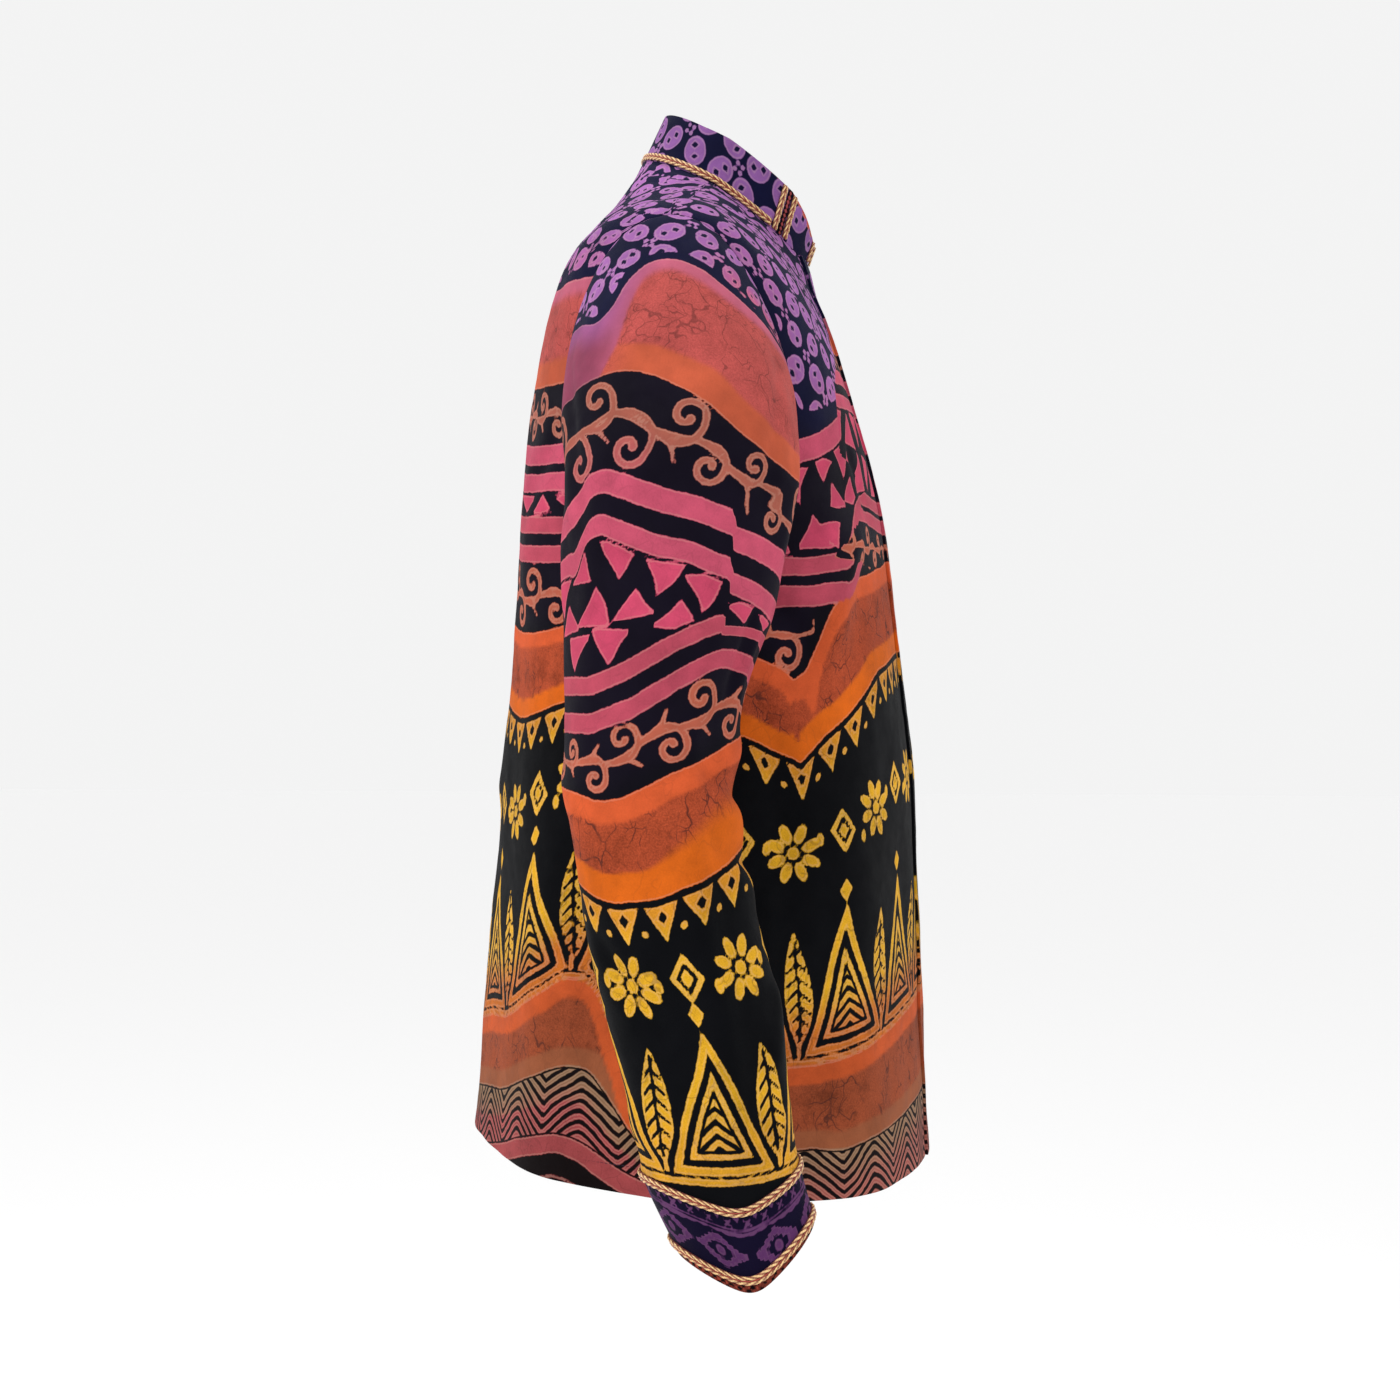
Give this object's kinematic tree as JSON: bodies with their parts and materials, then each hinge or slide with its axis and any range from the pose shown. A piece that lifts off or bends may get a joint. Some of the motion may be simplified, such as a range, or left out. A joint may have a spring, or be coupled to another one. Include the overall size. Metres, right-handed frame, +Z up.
{
  "type": "batik shirt",
  "caption": "Long-sleeved batik shirt with a stand collar, lapped front, curved hem and braid-trimmed cuffs, hollow and in the form it has when worn.",
  "frame": {"origin": "in the middle of the neck, at the height where the shoulder seams meet the collar, which is where the wearer's shoulders and neck hold the shirt", "axes": "+Z up, -Y to the wearer's front, +X to the wearer's left"},
  "size_m": [0.679, 0.3432, 0.7985],
  "materials": {
    "batik_cotton": "printed plain-weave cotton, matte, with a soft sheen",
    "collar_cotton": "printed plain-weave cotton, matte",
    "cuff_cotton": "woven cotton with blurred motifs, matte",
    "gold_braid": "twisted cord braid, satin",
    "edge_cotton": "narrow patterned band, matte"
  },
  "bodies": {
    "root": {"back": "batik_cotton", "collar": "collar_cotton", "collar_braid_front_left": "gold_braid", "collar_braid_front_right": "gold_braid", "collar_braid_rear_left": "gold_braid", "collar_braid_rear_right": "gold_braid", "collar_end_braid_left": "gold_braid", "collar_end_braid_right": "gold_braid", "collar_seam_braid": "gold_braid", "collar_strip_left": "edge_cotton", "collar_strip_right": "edge_cotton", "cuff_braid_low_left": "gold_braid", "cuff_braid_low_right": "gold_braid", "cuff_braid_top_left": "gold_braid", "cuff_braid_top_right": "gold_braid", "cuff_edge_left": "edge_cotton", "cuff_edge_right": "edge_cotton", "cuff_left": "cuff_cotton", "cuff_right": "cuff_cotton", "front_left": "batik_cotton", "front_right": "batik_cotton", "sleeve_left": "batik_cotton", "sleeve_right": "batik_cotton"}
  },
  "joints": []
}
